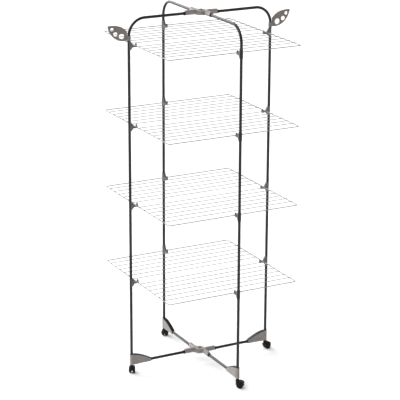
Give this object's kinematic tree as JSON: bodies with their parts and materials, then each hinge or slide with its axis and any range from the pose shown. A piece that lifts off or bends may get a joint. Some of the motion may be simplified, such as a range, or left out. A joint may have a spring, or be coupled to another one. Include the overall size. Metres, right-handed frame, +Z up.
{
  "type": "clothes drying rack",
  "caption": "Folding clothes drying rack: crossing tube frames on casters, hinged wire shelves between them and leaf-shaped hanger wings.",
  "frame": {"origin": "on the floor, under the vertical axis on which the two frames pivot", "axes": "+Z up, +X along the frame that carries the shelves and the leaf hangers, +Y to the back along the other frame"},
  "size_m": [0.9162, 0.7742, 1.7175],
  "materials": {
    "frame_tube": "glossy anthracite lacquer on steel tube",
    "shelf_wire": "satin white powder coat on steel wire",
    "joint_plastic": "satin taupe moulded plastic",
    "clip_plastic": "satin dark taupe moulded plastic",
    "caster_plastic": "black moulded plastic",
    "pivot_pin": "dark steel pin"
  },
  "bodies": {
    "root": {"post_left": "frame_tube", "bottom_tube_left": "frame_tube", "gusset_left": "joint_plastic", "post_right": "frame_tube", "bottom_tube_right": "frame_tube", "gusset_right": "joint_plastic", "clip_left_1": "clip_plastic", "clip_left_2": "clip_plastic", "clip_left_3": "clip_plastic", "clip_left_4": "clip_plastic", "clip_right_1": "clip_plastic", "clip_right_2": "clip_plastic", "clip_right_3": "clip_plastic", "clip_right_4": "clip_plastic", "hub_bottom_a": "joint_plastic", "hub_bottom_pin": "pivot_pin", "hub_top_a": "joint_plastic", "hub_top_pin": "pivot_pin"},
    "frame_b": {"post_front": "frame_tube", "bottom_tube_front": "frame_tube", "gusset_front": "joint_plastic", "post_back": "frame_tube", "bottom_tube_back": "frame_tube", "gusset_back": "joint_plastic", "clip_front_1": "clip_plastic", "clip_front_2": "clip_plastic", "clip_front_3": "clip_plastic", "clip_front_4": "clip_plastic", "clip_back_1": "clip_plastic", "clip_back_2": "clip_plastic", "clip_back_3": "clip_plastic", "clip_back_4": "clip_plastic", "hub_bottom_b": "joint_plastic", "hub_top_b": "joint_plastic"},
    "shelf_1_back": {"shelf_1_back": "shelf_wire"},
    "shelf_1_front": {"shelf_1_front": "shelf_wire"},
    "shelf_2_back": {"shelf_2_back": "shelf_wire"},
    "shelf_2_front": {"shelf_2_front": "shelf_wire"},
    "shelf_3_back": {"shelf_3_back": "shelf_wire"},
    "shelf_3_front": {"shelf_3_front": "shelf_wire"},
    "shelf_4_back": {"shelf_4_back": "shelf_wire"},
    "shelf_4_front": {"shelf_4_front": "shelf_wire"},
    "leaf_left": {"leaf_hanger_left": "joint_plastic"},
    "leaf_right": {"leaf_hanger_right": "joint_plastic"},
    "caster_right": {"caster_right_housing": "caster_plastic"},
    "wheels_right": {"caster_right_wheel_1": "caster_plastic", "caster_right_wheel_2": "caster_plastic"},
    "caster_back": {"caster_back_housing": "caster_plastic"},
    "wheels_back": {"caster_back_wheel_1": "caster_plastic", "caster_back_wheel_2": "caster_plastic"},
    "caster_left": {"caster_left_housing": "caster_plastic"},
    "wheels_left": {"caster_left_wheel_1": "caster_plastic", "caster_left_wheel_2": "caster_plastic"},
    "caster_front": {"caster_front_housing": "caster_plastic"},
    "wheels_front": {"caster_front_wheel_1": "caster_plastic", "caster_front_wheel_2": "caster_plastic"}
  },
  "joints": [
    {"name": "frame_fold", "type": "hinge", "parent": "root", "child": "frame_b", "pos_m": [0, 0, 0.9], "axis": [0, 0, -1], "range_deg": [0, 80]},
    {"name": "shelf_1_back_fold", "type": "hinge", "parent": "root", "child": "shelf_1_back", "pos_m": [0, 0.02, 0.462], "axis": [-1, 0, 0], "range_deg": [0, 88]},
    {"name": "shelf_1_front_fold", "type": "hinge", "parent": "root", "child": "shelf_1_front", "pos_m": [0, -0.02, 0.462], "axis": [1, 0, 0], "range_deg": [0, 88]},
    {"name": "shelf_2_back_fold", "type": "hinge", "parent": "root", "child": "shelf_2_back", "pos_m": [0, 0.02, 0.8353], "axis": [-1, 0, 0], "range_deg": [0, 88]},
    {"name": "shelf_2_front_fold", "type": "hinge", "parent": "root", "child": "shelf_2_front", "pos_m": [0, -0.02, 0.8353], "axis": [1, 0, 0], "range_deg": [0, 88]},
    {"name": "shelf_3_back_fold", "type": "hinge", "parent": "root", "child": "shelf_3_back", "pos_m": [0, 0.02, 1.2086], "axis": [-1, 0, 0], "range_deg": [0, 88]},
    {"name": "shelf_3_front_fold", "type": "hinge", "parent": "root", "child": "shelf_3_front", "pos_m": [0, -0.02, 1.2086], "axis": [1, 0, 0], "range_deg": [0, 88]},
    {"name": "shelf_4_back_fold", "type": "hinge", "parent": "root", "child": "shelf_4_back", "pos_m": [0, 0.02, 1.5819], "axis": [-1, 0, 0], "range_deg": [0, 88]},
    {"name": "shelf_4_front_fold", "type": "hinge", "parent": "root", "child": "shelf_4_front", "pos_m": [0, -0.02, 1.5819], "axis": [1, 0, 0], "range_deg": [0, 88]},
    {"name": "leaf_left_swing", "type": "hinge", "parent": "root", "child": "leaf_left", "pos_m": [-0.355, 0.012, 1.615], "axis": [0, 0, -1], "range_deg": [0, 90]},
    {"name": "leaf_right_swing", "type": "hinge", "parent": "root", "child": "leaf_right", "pos_m": [0.355, -0.012, 1.615], "axis": [0, 0, -1], "range_deg": [0, 90]},
    {"name": "caster_right_swivel", "type": "hinge", "parent": "root", "child": "caster_right", "pos_m": [0.355, -0.012, 0.045], "axis": [0, 0, 1], "continuous": true},
    {"name": "caster_right_roll", "type": "hinge", "parent": "caster_right", "child": "wheels_right", "pos_m": [0.3678, -0.00974, 0.017], "axis": [-0.1736, 0.9848, 0], "continuous": true},
    {"name": "caster_back_swivel", "type": "hinge", "parent": "frame_b", "child": "caster_back", "pos_m": [-0.012, 0.355, 0.045], "axis": [0, 0, 1], "continuous": true},
    {"name": "caster_back_roll", "type": "hinge", "parent": "caster_back", "child": "wheels_back", "pos_m": [-0.00281, 0.36419, 0.017], "axis": [-0.7071, 0.7071, 0], "continuous": true},
    {"name": "caster_left_swivel", "type": "hinge", "parent": "root", "child": "caster_left", "pos_m": [-0.355, 0.012, 0.045], "axis": [0, 0, 1], "continuous": true},
    {"name": "caster_left_roll", "type": "hinge", "parent": "caster_left", "child": "wheels_left", "pos_m": [-0.3485, 0.02326, 0.017], "axis": [-0.866, 0.5, 0], "continuous": true},
    {"name": "caster_front_swivel", "type": "hinge", "parent": "frame_b", "child": "caster_front", "pos_m": [0.012, -0.355, 0.045], "axis": [0, 0, 1], "continuous": true},
    {"name": "caster_front_roll", "type": "hinge", "parent": "caster_front", "child": "wheels_front", "pos_m": [0.02119, -0.36419, 0.017], "axis": [0.7071, 0.7071, 0], "continuous": true}
  ],
  "couplings": [
    {"joint": "shelf_1_back_fold", "follows": "frame_fold", "ratio": 1.1},
    {"joint": "shelf_1_front_fold", "follows": "frame_fold", "ratio": 1.1},
    {"joint": "shelf_2_back_fold", "follows": "frame_fold", "ratio": 1.1},
    {"joint": "shelf_2_front_fold", "follows": "frame_fold", "ratio": 1.1},
    {"joint": "shelf_3_back_fold", "follows": "frame_fold", "ratio": 1.1},
    {"joint": "shelf_3_front_fold", "follows": "frame_fold", "ratio": 1.1},
    {"joint": "shelf_4_back_fold", "follows": "frame_fold", "ratio": 1.1},
    {"joint": "shelf_4_front_fold", "follows": "frame_fold", "ratio": 1.1}
  ]
}
